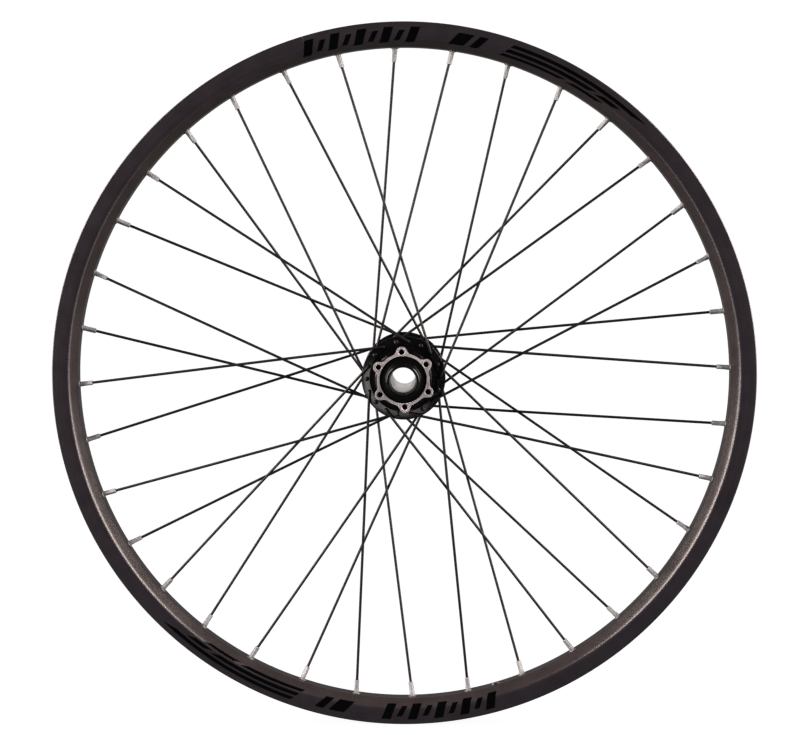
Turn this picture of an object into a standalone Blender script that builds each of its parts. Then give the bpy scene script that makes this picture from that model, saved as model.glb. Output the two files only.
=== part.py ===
"""Spoked bicycle front wheel: 26-inch double-wall disc-brake rim, 36 three-cross
J-bend spokes with nipples, and a sealed-bearing hub for a 20 mm through axle.

Frame: metres, +Z up, origin at the wheel's centre, axle along Y.
The disc-brake side of the hub faces -Y and is called left. Angles are measured
clockwise from the top (+Z towards +X), as seen from the disc side.
Dimensions are in millimetres and degrees; meshes are scaled to metres when added.
"""
import math

import bmesh
import bpy
from mathutils import Matrix, Vector

MM = 0.001
SHARP_DEG = 32              # edges bent more than this are shaded sharp

# ---------------------------------------------------------------- dimensions
SPOKES = 36
STEP_DEG = 360.0 / SPOKES
CROSS_DEG = 60.0            # hub hole to rim hole, 3-cross on 18 holes a side
PHASE_DEG = 8.45            # first rim hole, clockwise from the top

# rim
RIM_R = 285.0               # outer edge of the rim
RIM_HALF_W = 16.0
BEAD_SEAT_R = 279.5         # 559 mm bead seat diameter
RIM_CREASE_R = 272.8        # where the side wall turns into the bevel
RIM_BED_R = 265.5           # inner face of the spoke bed
RIM_BED_HALF_W = 6.2
RIM_SEGMENTS = 72
RIM_FACET_DEG = 360.0 / RIM_SEGMENTS
RIM_CORNER_DEG = PHASE_DEG + RIM_FACET_DEG / 2    # so each spoke hole is mid-facet
CHAMBER_FLOOR_R = 267.2
SPOKE_HOLE_R = 2.9
ACCESS_HOLE_R = 4.4
VALVE_HOLE_R = 4.3
HOLE_STAGGER = 1.5          # spoke holes sit this far either side of the rim's middle
BED_DRILL_SPAN = (262.0, 270.2)       # radii between which the spoke bed is drilled
ACCESS_DRILL_SPAN = (271.2, 279.0)    # and the tyre bed
VALVE_DEG = PHASE_DEG + 15.5 * STEP_DEG
JOINT_DEG = VALVE_DEG + 180.0         # middle of the joint sleeve
SLEEVE_REACH_DEG = 3.9                # from its middle to either end

# bearings: 25 x 37 x 7 cartridges
BEARING_OD_R = 18.5
BEARING_BORE_R = 12.5
BEARING_HALF_W = 3.5
BEARING_PITCH_R = 15.5
BALL_R = 1.75
BALLS = 12
BALL_TURN_DEG = 22.5        # turn of each ball's facets from radial
LEFT_BEARING_Y = -33.2      # middle of the bearing
RIGHT_BEARING_Y = 36.6
SEAT_GAP = 0.3
TURNED_SEGMENTS = 24        # axle, end caps and bearings

# hub
FLANGE_R = 33.9
FLANGE_HALF_T = 1.6
FLANGE_HOLE_R = 1.5
FLANGE_PITCH_R = 29.5
FLANGE_DRILL_REACH = 2.6    # either side of the flange's middle plane
LEFT_FLANGE_Y = -20.0       # disc side
RIGHT_FLANGE_Y = 33.0
HUB_SEGMENTS = 36
HUB_PHASE_DEG = PHASE_DEG + 180.0 / HUB_SEGMENTS
HUB_BORE_R = 15.6           # between the bearing seats
HUB_MOUTH_Y = 42.0          # right end of the shell
SEAT_R = BEARING_OD_R + SEAT_GAP
LEFT_SHOULDER_Y = LEFT_BEARING_Y + BEARING_HALF_W + SEAT_GAP
RIGHT_SHOULDER_Y = RIGHT_BEARING_Y - BEARING_HALF_W - SEAT_GAP

# disc mount
DISC_FACE_Y = -39.5
DISC_BOLTS = 6
DISC_BOLT_R = 22.0          # 44 mm bolt circle
DISC_EAR_R = 4.5
DISC_WAIST_R = 21.2
DISC_FILLET_R = 5.0
DISC_THREAD_R = 2.1         # M5 tapping size
DISC_THREAD_DEPTH = 11.0
DISC_PHASE_DEG = -3.45
DISC_BITE = 1.3             # the mount runs this far into the flange
DISC_OVERRUN = 1.0          # cutters start this far outside the face
SHELL_END_Y = DISC_FACE_Y + 2.5   # turned part of the shell, inside the mount
BORE_CUT_END_Y = 2.0        # the cutter that reopens the bore stops here

# axle and end caps
END_Y = 55.0                # 110 mm over the end caps
CAP_LEAD = 11.6             # each cap's bore narrows over this length to meet the axle tube
CAP_MOUTH_R = 11.1
CAP_SHIELD_R = 18.2
CAP_SHIELD_BORE_R = 12.6
CAP_SOCKET_R = 11.5         # takes the end of the axle tube
AXLE_BORE_R = 10.05         # 20 mm through axle
AXLE_TUBE_R = 11.2
AXLE_BODY_R = 13.9          # between the bearings
AXLE_END_Y = END_Y - CAP_LEAD - 0.4
JOURNAL_R = BEARING_BORE_R - SEAT_GAP
JOURNAL_OVERHANG = 2.0      # journal showing outside each bearing

# spokes
SPOKE_R = 1.0
SPOKE_SIDES = 6
SPOKE_LIE = 2.9             # spoke centre line from the flange's middle plane
SPOKE_BEND_R = 1.5
EDGE_RUN = 9.8              # hub hole to just past the flange's edge
LACE_LIFT = 1.15            # each of two laced spokes bows this far at the outer crossing
NIPPLE_R = 2.0
NIPPLE_HEAD_R = 3.1
NIPPLE_OUT = 11.5           # nipple length showing inside the rim


# ---------------------------------------------------------------- helpers
def polar(radius, y, degrees):
    """A point at this radius and angle round the axle, in millimetres."""
    a = math.radians(degrees)
    return Vector((radius * math.sin(a), y, radius * math.cos(a)))


def along_y(distance):
    return Vector((0, distance, 0))


def both_sides(half):
    """A half profile of (y, radius) and its mirror image, as one closed loop."""
    return half + [(-y, r) for y, r in reversed(half)]


def add_mesh_object(name, bm, parent):
    """A new object from a bmesh drawn in millimetres; the bmesh is freed."""
    bmesh.ops.recalc_face_normals(bm, faces=bm.faces)
    bmesh.ops.scale(bm, vec=(MM, MM, MM), verts=bm.verts)
    mesh = bpy.data.meshes.new(name)
    bm.to_mesh(mesh)
    bm.free()
    obj = bpy.data.objects.new(name, mesh)
    bpy.context.scene.collection.objects.link(obj)
    obj.parent = parent
    return obj


def add_piece(name, bm, mat, parent):
    """A visible piece of the wheel."""
    obj = add_mesh_object(name, bm, parent)
    obj.data.materials.append(mat)
    obj.data.shade_smooth()
    obj.data.set_sharp_from_angle(angle=math.radians(SHARP_DEG))
    return obj


def add_helper(name, bm, parent):
    """A hidden operand for a boolean."""
    obj = add_mesh_object(name, bm, parent)
    obj.hide_render = True
    obj.display_type = "WIRE"
    return obj


def add_boolean(obj, operand, operation, name):
    mod = obj.modifiers.new(name, "BOOLEAN")
    mod.operation = operation
    mod.object = operand
    mod.solver = "EXACT"


def turned(profile, segments, phase=0.0):
    """A closed profile of (y, radius) points spun right round the axle."""
    bm = bmesh.new()
    verts = [bm.verts.new(polar(r, y, phase)) for y, r in profile]
    edges = [bm.edges.new((verts[i], verts[(i + 1) % len(verts)])) for i in range(len(verts))]
    bmesh.ops.spin(
        bm, geom=verts + edges, cent=(0, 0, 0), axis=(0, 1, 0),
        angle=2 * math.pi, steps=segments, use_merge=True,
    )
    bmesh.ops.remove_doubles(bm, verts=bm.verts, dist=1e-4)
    return bm


def rod(bm, start, end, radius, sides):
    """A plain cylinder between two points, added to bm."""
    axis = end - start
    turn = axis.to_track_quat("Z", "Y").to_matrix().to_4x4()
    bmesh.ops.create_cone(
        bm, cap_ends=True, segments=sides, radius1=radius, radius2=radius,
        depth=axis.length, matrix=Matrix.Translation((start + end) / 2) @ turn,
    )


def loft(bm, point_rings):
    """A capped solid through rings of equally many points, added to bm."""
    rings = [[bm.verts.new(p) for p in points] for points in point_rings]
    for low, high in zip(rings, rings[1:]):
        n = len(low)
        for k in range(n):
            bm.faces.new((low[k], low[(k + 1) % n], high[(k + 1) % n], high[k]))
    bm.faces.new(rings[0])
    bm.faces.new(rings[-1])


def swept(stations, sides, side_hint):
    """A closed round bar through (point, radius) stations."""
    points = [point for point, _ in stations]
    rings = []
    hint = side_hint.normalized()
    for i, (point, radius) in enumerate(stations):
        before = points[i] - points[i - 1] if i else points[1] - points[0]
        after = points[i + 1] - points[i] if i + 1 < len(points) else before
        tangent = (before.normalized() + after.normalized()).normalized()
        hint = (hint - tangent * hint.dot(tangent)).normalized()
        other = tangent.cross(hint)
        rings.append([
            point + radius * (math.cos(a) * hint + math.sin(a) * other)
            for a in (2 * math.pi * k / sides for k in range(sides))
        ])
    bm = bmesh.new()
    loft(bm, rings)
    return bm


# ---------------------------------------------------------------- scene, materials and axes
for old in list(bpy.data.objects):
    bpy.data.objects.remove(old, do_unlink=True)


def material(name, colour, roughness, metallic):
    mat = bpy.data.materials.new(name)
    mat.use_nodes = True
    shader = mat.node_tree.nodes["Principled BSDF"]
    shader.inputs["Base Color"].default_value = (*colour, 1.0)
    shader.inputs["Roughness"].default_value = roughness
    shader.inputs["Metallic"].default_value = metallic
    mat.diffuse_color = (*colour, 1.0)
    return mat


BLACK_RIM = material("rim_black", colour=(0.035, 0.031, 0.032), roughness=0.42, metallic=0.6)
BLACK_HUB = material("hub_black", colour=(0.012, 0.012, 0.013), roughness=0.25, metallic=0.6)
CAP_BLACK = material("cap_black", colour=(0.010, 0.010, 0.010), roughness=0.3, metallic=0.5)
ALLOY = material("bare_alloy", colour=(0.60, 0.58, 0.57), roughness=0.35, metallic=1.0)
SPOKE_BLACK = material("spoke_black", colour=(0.015, 0.015, 0.015), roughness=0.3, metallic=0.7)
BEARING_STEEL = material("bearing_steel", colour=(0.55, 0.55, 0.56), roughness=0.22, metallic=1.0)
RUBBER = material("seal_rubber", colour=(0.015, 0.015, 0.015), roughness=0.75, metallic=0.0)


def add_axis(name, y=0.0):
    """An empty on the axle's line, the parent of parts that turn together."""
    empty = bpy.data.objects.new(name, None)
    bpy.context.scene.collection.objects.link(empty)
    empty.location = (0, y * MM, 0)
    return empty


wheel_axis = add_axis("wheel_axis")
axle_axis = add_axis("axle_axis")
left_balls_axis = add_axis("left_balls_axis", LEFT_BEARING_Y)
right_balls_axis = add_axis("right_balls_axis", RIGHT_BEARING_Y)


# ---------------------------------------------------------------- lacing
def rim_hole(i):
    """(angle, sideways offset) of rim hole i. Even holes belong to the disc side's flange."""
    return PHASE_DEG + STEP_DEG * i, -HOLE_STAGGER if i % 2 == 0 else HOLE_STAGGER


def hub_hole(i):
    """(centre, lead) of spoke i's flange hole. Lead is 1 if the spoke runs clockwise
    from hub to rim, otherwise -1."""
    angle, _ = rim_hole(i)
    lead = 1 if i % 4 in (0, 3) else -1
    flange_y = LEFT_FLANGE_Y if i % 2 == 0 else RIGHT_FLANGE_Y
    return polar(FLANGE_PITCH_R, flange_y, angle - lead * CROSS_DEG), lead


# ---------------------------------------------------------------- rim
# half profiles of (y, radius)
HALF_SKIN = [
    (RIM_BED_HALF_W, RIM_BED_R),
    (RIM_HALF_W, RIM_CREASE_R),
    (RIM_HALF_W, RIM_R - 0.9),
    (15.1, RIM_R),
    (13.1, RIM_R - 0.8),
    (13.8, BEAD_SEAT_R),
    (9.8, BEAD_SEAT_R - 0.2),
    (7.6, 275.5),
]
HALF_CHAMBER = [(5.8, CHAMBER_FLOOR_R), (14.3, 273.4), (14.3, 277.6), (8.6, 274.0)]
HALF_SLEEVE = [(5.4, 267.7), (13.8, 273.8), (13.8, 277.0), (9.0, 273.5)]


def rim_drills():
    """Cutters for the spoke holes, their access holes and the valve hole."""
    bm = bmesh.new()

    def drill(span, y, degrees, radius, sides):
        start, end = (polar(r, y, degrees) for r in span)
        rod(bm, start, end, radius, sides)

    for i in range(SPOKES):
        angle, offset = rim_hole(i)
        drill(BED_DRILL_SPAN, offset, angle, SPOKE_HOLE_R, sides=6)
        drill(ACCESS_DRILL_SPAN, 0, angle, ACCESS_HOLE_R, sides=6)
    valve_span = (BED_DRILL_SPAN[0], ACCESS_DRILL_SPAN[1])
    drill(valve_span, 0, VALVE_DEG, VALVE_HOLE_R, sides=10)
    return bm


def build_rim():
    skin = turned(both_sides(HALF_SKIN), RIM_SEGMENTS, RIM_CORNER_DEG)
    rim = add_piece("rim", skin, BLACK_RIM, wheel_axis)
    hollow = turned(both_sides(HALF_CHAMBER), RIM_SEGMENTS, RIM_CORNER_DEG)
    chamber = add_helper("chamber_cutter", hollow, wheel_axis)
    drills = add_helper("rim_drills", rim_drills(), wheel_axis)
    add_boolean(rim, chamber, "DIFFERENCE", "chamber")
    add_boolean(rim, drills, "DIFFERENCE", "holes")


def on_facet(radius, degrees):
    """The radius, at this angle, of a flat rim facet whose corners lie at radius."""
    half_facet = RIM_FACET_DEG / 2
    off = (degrees - PHASE_DEG + half_facet) % RIM_FACET_DEG - half_facet
    return radius * math.cos(math.radians(half_facet)) / math.cos(math.radians(off))


def build_joint_sleeve():
    """The sleeve that joins the ends of the rim's extrusion, opposite the valve."""
    half_facet = RIM_FACET_DEG / 2
    bm = bmesh.new()
    loft(bm, [
        [polar(on_facet(r, degrees), y, degrees) for y, r in both_sides(HALF_SLEEVE)]
        for degrees in (
            JOINT_DEG - SLEEVE_REACH_DEG, JOINT_DEG - half_facet,
            JOINT_DEG + half_facet, JOINT_DEG + SLEEVE_REACH_DEG,
        )
    ])
    add_piece("rim_joint_sleeve", bm, ALLOY, wheel_axis)


# ---------------------------------------------------------------- hub shell
# (y, radius): the outside from left to right, then back through the bore
SHELL_PROFILE = [
    (SHELL_END_Y, SEAT_R + 0.9),
    (LEFT_FLANGE_Y - 4.5, 21.2),
    (LEFT_FLANGE_Y - FLANGE_HALF_T, 23.4),
    (LEFT_FLANGE_Y - FLANGE_HALF_T, FLANGE_R - 0.6),
    (LEFT_FLANGE_Y - FLANGE_HALF_T + 0.6, FLANGE_R),
    (LEFT_FLANGE_Y + FLANGE_HALF_T, FLANGE_R),
    (LEFT_FLANGE_Y + FLANGE_HALF_T, 26.0),
    (LEFT_FLANGE_Y + 5.5, 21.6),
    (2.0, 19.2),
    (RIGHT_FLANGE_Y - 8.0, 21.6),
    (RIGHT_FLANGE_Y - FLANGE_HALF_T, 26.0),
    (RIGHT_FLANGE_Y - FLANGE_HALF_T, FLANGE_R),
    (RIGHT_FLANGE_Y + FLANGE_HALF_T - 0.6, FLANGE_R),
    (RIGHT_FLANGE_Y + FLANGE_HALF_T, FLANGE_R - 0.6),
    (RIGHT_FLANGE_Y + FLANGE_HALF_T, 26.5),
    (RIGHT_FLANGE_Y + 4.2, 22.6),
    (HUB_MOUTH_Y - 0.8, 21.4),
    (HUB_MOUTH_Y, 20.6),
    (HUB_MOUTH_Y, SEAT_R),
    (RIGHT_SHOULDER_Y, SEAT_R),
    (RIGHT_SHOULDER_Y, HUB_BORE_R),
    (LEFT_SHOULDER_Y, HUB_BORE_R),
    (LEFT_SHOULDER_Y, SEAT_R),
    (SHELL_END_Y, SEAT_R),
]
# (y, radius): reopens the left bearing seat and the bore through the disc mount
BORE_CUT_PROFILE = [
    (DISC_FACE_Y - DISC_OVERRUN, SEAT_R),
    (LEFT_SHOULDER_Y, SEAT_R),
    (LEFT_SHOULDER_Y, HUB_BORE_R),
    (BORE_CUT_END_Y, HUB_BORE_R),
]
BOLT_ANGLES = [DISC_PHASE_DEG + 360 / DISC_BOLTS * k for k in range(DISC_BOLTS)]


def fillet_arc(centre, ear):
    """Three points of the fillet round centre, from the waist to the ear."""
    to_waist = (-centre).normalized() * DISC_FILLET_R
    to_ear = (ear - centre).normalized() * DISC_FILLET_R
    return [
        centre + to_waist.slerp(to_ear, t).normalized() * DISC_FILLET_R
        for t in (0.0, 0.5, 1.0)
    ]


def star_outline():
    """The disc mount's outline: six ears, joined by fillets to the round waist."""
    reach = DISC_WAIST_R + DISC_FILLET_R
    to_ear = DISC_EAR_R + DISC_FILLET_R
    # angle between an ear and the centre of its fillet, by the cosine rule
    lean = math.degrees(math.acos(
        (DISC_BOLT_R ** 2 + reach ** 2 - to_ear ** 2) / (2 * DISC_BOLT_R * reach)
    ))
    points = []
    for angle in BOLT_ANGLES:
        ear = polar(DISC_BOLT_R, 0, angle)
        before = fillet_arc(polar(reach, 0, angle - lean), ear)
        after = fillet_arc(polar(reach, 0, angle + lean), ear)
        tip = ear.normalized() * DISC_EAR_R
        shoulders = [
            ear + (arc[-1] - ear).slerp(tip, 0.5).normalized() * DISC_EAR_R
            for arc in (before, after)
        ]
        points += [*before, shoulders[0], ear + tip, shoulders[1], *reversed(after)]
    return points


def disc_mount():
    bm = bmesh.new()
    face = bm.faces.new([bm.verts.new((p.x, DISC_FACE_Y, p.z)) for p in star_outline()])
    pushed = bmesh.ops.extrude_face_region(bm, geom=[face])
    for item in pushed["geom"]:
        if isinstance(item, bmesh.types.BMVert):
            item.co.y = LEFT_FLANGE_Y - FLANGE_HALF_T + DISC_BITE
    return bm


def hub_drills():
    """Cutters for the spoke holes, the disc bolt threads and the left end's bore."""
    bm = bmesh.new()
    for i in range(SPOKES):
        hole, _ = hub_hole(i)
        reach = along_y(FLANGE_DRILL_REACH)
        rod(bm, hole - reach, hole + reach, FLANGE_HOLE_R, sides=6)
    for angle in BOLT_ANGLES:
        start = polar(DISC_BOLT_R, DISC_FACE_Y - DISC_OVERRUN, angle)
        end = polar(DISC_BOLT_R, DISC_FACE_Y + DISC_THREAD_DEPTH, angle)
        rod(bm, start, end, DISC_THREAD_R, sides=8)
    loft(bm, [
        [polar(r, y, HUB_PHASE_DEG + 360.0 * k / HUB_SEGMENTS) for k in range(HUB_SEGMENTS)]
        for y, r in BORE_CUT_PROFILE
    ])
    return bm


def build_hub():
    shell = turned(SHELL_PROFILE, HUB_SEGMENTS, HUB_PHASE_DEG)
    hub = add_piece("hub_shell", shell, BLACK_HUB, wheel_axis)
    star = add_helper("disc_mount_star", disc_mount(), wheel_axis)
    add_boolean(hub, star, "UNION", "disc_mount")
    drills = add_helper("hub_drills", hub_drills(), wheel_axis)
    add_boolean(hub, drills, "DIFFERENCE", "holes")


# ---------------------------------------------------------------- spokes
# Seen along the axle, a spoke's line passes the axle at TANGENT_R.
# A run is a distance along that line from the hub hole.
CROSS = math.radians(CROSS_DEG)
FULL_RUN = math.sqrt(
    RIM_BED_R ** 2 + FLANGE_PITCH_R ** 2 - 2 * RIM_BED_R * FLANGE_PITCH_R * math.cos(CROSS)
)
TANGENT_R = RIM_BED_R * FLANGE_PITCH_R * math.sin(CROSS) / FULL_RUN
FOOT = math.acos(TANGENT_R / RIM_BED_R)    # rim hole to the line's nearest point to the axle
CROSS_BACK = CROSS / 6                     # rim hole back to the outer crossing
CROSS_RUN = TANGENT_R * math.tan(FOOT - CROSS_BACK) - math.sqrt(FLANGE_PITCH_R ** 2 - TANGENT_R ** 2)

# (distance from the flange's middle plane, radius)
HEAD_STATIONS = [
    (FLANGE_HALF_T + 1.35, 1.3),
    (FLANGE_HALF_T + 0.75, 1.9),
    (FLANGE_HALF_T + 0.2, SPOKE_R),
]
# (distance outward along the spoke from the rim bed, radius)
NIPPLE_STATIONS = [
    (-NIPPLE_OUT, SPOKE_R),
    (-NIPPLE_OUT + 0.4, NIPPLE_R),
    (2.25, NIPPLE_R),
    (2.4, NIPPLE_HEAD_R),
    (4.6, 2.6),
]


def spoke_stations(i):
    """(point, radius) along spoke i, from its head at the hub to its nipple in the rim."""
    angle, offset = rim_hole(i)
    hole, lead = hub_hole(i)
    outward = -1.0 if i % 2 == 0 else 1.0     # away from the wheel's middle
    away = -lead * outward                    # the elbow's side; the head is on the other
    end = polar(RIM_BED_R, offset, angle)
    flat = Vector((end.x - hole.x, 0, end.z - hole.z)).normalized()

    stations = [(hole - along_y(away * back), radius) for back, radius in HEAD_STATIONS]

    lie = hole + along_y(away * SPOKE_LIE)
    centre = lie - along_y(away * SPOKE_BEND_R) + flat * SPOKE_BEND_R
    for turn in (0, 45, 90):
        a = math.radians(turn)
        bend = along_y(away * math.sin(a)) - flat * math.cos(a)
        stations.append((centre + bend * SPOKE_BEND_R, SPOKE_R))
    if away == outward:                       # an outer spoke bends over the flange's edge
        stations.append((lie + flat * EDGE_RUN, SPOKE_R))

    crossing = hole + flat * CROSS_RUN
    straight_y = hole.y + (offset - hole.y) * CROSS_RUN / FULL_RUN
    crossing.y = straight_y - away * LACE_LIFT
    stations.append((crossing, SPOKE_R))

    line = (end - crossing).normalized()
    stations += [(end + line * distance, radius) for distance, radius in NIPPLE_STATIONS]
    return stations


def build_spokes():
    """Each spoke is one piece with its nipple."""
    for i in range(SPOKES):
        stations = spoke_stations(i)
        tip = stations[-1][0]
        bar = swept(stations, SPOKE_SIDES, side_hint=Vector((tip.x, 0, tip.z)))
        add_piece(f"spoke_{i + 1:02d}", bar, SPOKE_BLACK, wheel_axis)


# ---------------------------------------------------------------- hollow axle and end caps
def build_axle():
    left_outer = LEFT_BEARING_Y - BEARING_HALF_W - JOURNAL_OVERHANG
    right_outer = RIGHT_BEARING_Y + BEARING_HALF_W + JOURNAL_OVERHANG
    bore = AXLE_BORE_R + 0.1
    profile = [
        (-AXLE_END_Y, AXLE_TUBE_R), (left_outer, AXLE_TUBE_R),
        (left_outer, JOURNAL_R), (LEFT_SHOULDER_Y, JOURNAL_R),
        (LEFT_SHOULDER_Y, AXLE_BODY_R), (RIGHT_SHOULDER_Y, AXLE_BODY_R),
        (RIGHT_SHOULDER_Y, JOURNAL_R), (right_outer, JOURNAL_R),
        (right_outer, AXLE_TUBE_R), (AXLE_END_Y, AXLE_TUBE_R),
        (AXLE_END_Y, bore), (-AXLE_END_Y, bore),
    ]
    add_piece("hollow_axle", turned(profile, TURNED_SEGMENTS), ALLOY, axle_axis)


def build_end_cap(name, side, bearing_y):
    """A cap over the axle's end, with a shield that covers the bearing.
    side is -1 on the disc side."""
    face = bearing_y + side * (BEARING_HALF_W + 0.4)      # beside the bearing
    profile = [
        (face, CAP_SHIELD_BORE_R), (face, CAP_SHIELD_R),
        (face + side * 1.3, CAP_SHIELD_R), (face + side * 1.3, 15.6),
        (side * 46.5, 14.2), (side * (END_Y - 0.8), 13.5),
        (side * END_Y, 12.9), (side * END_Y, CAP_MOUTH_R),
        (side * (END_Y - CAP_LEAD), AXLE_BORE_R), (side * (END_Y - CAP_LEAD), CAP_SOCKET_R),
        (face + side * 1.9, CAP_SOCKET_R), (face + side * 1.9, CAP_SHIELD_BORE_R),
    ]
    add_piece(name, turned(profile, TURNED_SEGMENTS), CAP_BLACK, axle_axis)


# ---------------------------------------------------------------- bearings
# half profiles of (y from the bearing's middle, radius)
HALF_OUTER_RACE = [
    (1.0, 17.45), (1.6, 16.7), (BEARING_HALF_W, 16.7), (BEARING_HALF_W, BEARING_OD_R),
]
HALF_INNER_RACE = [
    (1.0, 13.5), (1.6, 14.3), (BEARING_HALF_W, 14.3), (BEARING_HALF_W, BEARING_BORE_R),
]
HALF_CAGE = [(0.5, 15.1), (0.5, 15.9)]
SEAL_R = (14.6, 16.4)       # inner and outer radius
SEAL_T = 0.7
SEAL_INSET = 0.35           # below the bearing's side face


def ball_set():
    bm = bmesh.new()
    for k in range(BALLS):
        angle = 360.0 * k / BALLS
        place = (
            Matrix.Translation(polar(BEARING_PITCH_R, 0, angle))
            @ Matrix.Rotation(math.radians(angle + BALL_TURN_DEG), 4, "Y")
            @ Matrix.Rotation(math.pi / 2, 4, "X")
        )
        bmesh.ops.create_uvsphere(bm, u_segments=6, v_segments=4, radius=BALL_R, matrix=place)
    return bm


def build_bearing(label, middle, ball_parent):
    """Two races, a caged ball set and two rubber seals."""
    for race, half, parent in (
        ("outer", HALF_OUTER_RACE, wheel_axis),
        ("inner", HALF_INNER_RACE, axle_axis),
    ):
        profile = [(middle + y, r) for y, r in both_sides(half)]
        ring = turned(profile, TURNED_SEGMENTS)
        add_piece(f"bearing_{label}_{race}_race", ring, BEARING_STEEL, parent)

    outward = math.copysign(1, middle)
    for where, sign in (("outside", outward), ("inside", -outward)):
        near = middle + sign * (BEARING_HALF_W - SEAL_INSET)
        far = near - sign * SEAL_T
        low, high = SEAL_R
        seal = turned([(near, low), (near, high), (far, high), (far, low)], TURNED_SEGMENTS)
        add_piece(f"bearing_{label}_seal_{where}", seal, RUBBER, wheel_axis)

    ring = turned(both_sides(HALF_CAGE), 2 * BALLS)
    cage = add_piece(f"bearing_{label}_ball_cage", ring, BEARING_STEEL, ball_parent)
    balls = add_helper(f"{label}_balls", ball_set(), ball_parent)
    add_boolean(cage, balls, "UNION", "balls")


# ---------------------------------------------------------------- build
build_rim()
build_joint_sleeve()
build_hub()
build_spokes()
build_axle()
build_end_cap("end_cap_left", -1.0, LEFT_BEARING_Y)
build_end_cap("end_cap_right", 1.0, RIGHT_BEARING_Y)
build_bearing("left", LEFT_BEARING_Y, left_balls_axis)
build_bearing("right", RIGHT_BEARING_Y, right_balls_axis)
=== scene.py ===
"""The looks of a spoked bicycle front wheel, standing on a pale studio sweep.

The axle lies along Y with the wheel's centre at the origin and Z up. The disc side is -Y, and
"left" in the wheel means that side. The camera looks from -Y, so the lamps' "left" is -X.
Lengths are in millimetres until a mesh is made; the studio is in metres. Angles are in degrees,
clockwise from the top as seen from the disc side. Spokes with even numbers go to the left flange.
"""

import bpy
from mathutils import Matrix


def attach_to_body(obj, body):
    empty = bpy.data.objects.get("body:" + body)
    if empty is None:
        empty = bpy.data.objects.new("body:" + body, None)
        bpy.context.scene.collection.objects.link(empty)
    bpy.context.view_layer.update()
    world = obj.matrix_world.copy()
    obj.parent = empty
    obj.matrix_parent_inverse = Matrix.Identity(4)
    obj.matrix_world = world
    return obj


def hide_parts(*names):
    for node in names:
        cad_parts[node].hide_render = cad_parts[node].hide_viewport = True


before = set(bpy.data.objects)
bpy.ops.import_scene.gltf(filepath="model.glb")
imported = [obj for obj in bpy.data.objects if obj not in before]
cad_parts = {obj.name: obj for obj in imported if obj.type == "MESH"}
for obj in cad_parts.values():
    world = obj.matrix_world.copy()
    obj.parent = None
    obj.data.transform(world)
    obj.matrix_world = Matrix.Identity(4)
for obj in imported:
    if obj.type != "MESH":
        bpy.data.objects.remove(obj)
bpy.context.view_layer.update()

import math

import bmesh
import bpy
import numpy as np
from mathutils import Matrix, Vector

MM = 0.001

# Spoke pattern
SPOKES = 36
STEP = 360.0 / SPOKES
PHASE = 8.45                    # the first rim hole
CROSS = 60.0                    # between a spoke's hub hole and its rim hole

# Rim
RIM_R = 284.9
SIDE_Y = 16.0                   # half the rim's width
CREASE_R = 271.7                # where the side wall turns in towards the bed
BED_R = 265.5                   # the bed's inner face
SIDE_FILLET, BED_FILLET = 5.5, 1.4
SPOKE_HOLE_OFFSET = 1.5
VALVE_DEG = PHASE + 15.5 * STEP
JOINT_DEG = VALVE_DEG + 180.0

# Hub flanges
FLANGE_R = 33.9
FLANGE_T = 3.2
HALF_T = FLANGE_T / 2
PITCH_R = 29.5
LEFT_FLANGE, RIGHT_FLANGE = -20.0, 33.0

# Disc mount, a star with six ears
DISC_Y = -39.5
BOLT_R = 22.0
EAR_R = 4.5
WAIST_R = 21.2
EAR_FILLET = 5.0
DISC_PHASE = -3.45

# Bearings, axle and end caps
LEFT_BEARING, RIGHT_BEARING = -33.2, 36.6
BEARING_HALF = 3.5
LEFT_SHOULDER = LEFT_BEARING + BEARING_HALF + 0.05
RIGHT_SHOULDER = RIGHT_BEARING - BEARING_HALF - 0.05
END_Y = 55.0
CAP_LEAD, CAP_MOUTH_R = 11.6, 11.1

# Spokes and nipples
SPOKE_R = 1.05
LIE = 2.9                       # from the flange's middle to the spoke lying beside it
BEND_R = 1.6
LACE = 1.15                     # how far a spoke bows aside where it crosses another
EDGE_RUN = 9.8                  # straight run that clears the flange's edge
NIPPLE_OUT = 11.5               # how far a nipple stands out of the bed towards the hub


# ------------------------------------------------------------------------------ outlines
def polar(r, y, degrees):
    a = math.radians(degrees)
    return np.array((r * math.sin(a), y, r * math.cos(a)))


def unit(vector):
    return vector / np.linalg.norm(vector)


def swung(start, end, cosine, steps):
    """Vectors that turn evenly from start to end, which have this cosine between them."""
    turn = math.acos(max(-1.0, min(1.0, float(cosine))))
    return [
        (math.sin((1 - k / steps) * turn) * start + math.sin(k / steps * turn) * end) / math.sin(turn)
        for k in range(steps + 1)
    ]


def rounded(points, steps=5):
    """A closed (y, r) loop from (y, r, corner radius) points, each corner turned into an arc."""
    out = []
    for i, (y, r, fillet) in enumerate(points):
        corner = np.array((y, r), float)
        if fillet <= 0:
            out.append(corner)
            continue
        back = np.array(points[i - 1][:2], float) - corner
        ahead = np.array(points[(i + 1) % len(points)][:2], float) - corner
        back_length, ahead_length = np.linalg.norm(back), np.linalg.norm(ahead)
        back, ahead = back / back_length, ahead / ahead_length
        half = math.acos(max(-1.0, min(1.0, float(back @ ahead)))) / 2
        if half > math.radians(88):             # all but straight
            out.append(corner)
            continue
        inset = min(fillet / math.tan(half), 0.48 * back_length, 0.48 * ahead_length)
        radius = inset * math.tan(half)
        centre = corner + unit(back + ahead) * (radius / math.sin(half))
        start, end = corner + back * inset - centre, corner + ahead * inset - centre
        arms = swung(start, end, start @ end / (radius * radius), steps)
        out += [centre + arm for arm in arms]
    return np.array(out)


def densified(loop, longest):
    """The loop with extra points, so that no span is longer than this."""
    out = []
    for a, b in zip(loop, np.roll(loop, -1, axis=0)):
        n = max(1, int(math.ceil(np.linalg.norm(b - a) / longest)))
        out += [a + (b - a) * k / n for k in range(n)]
    return np.array(out)


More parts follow.
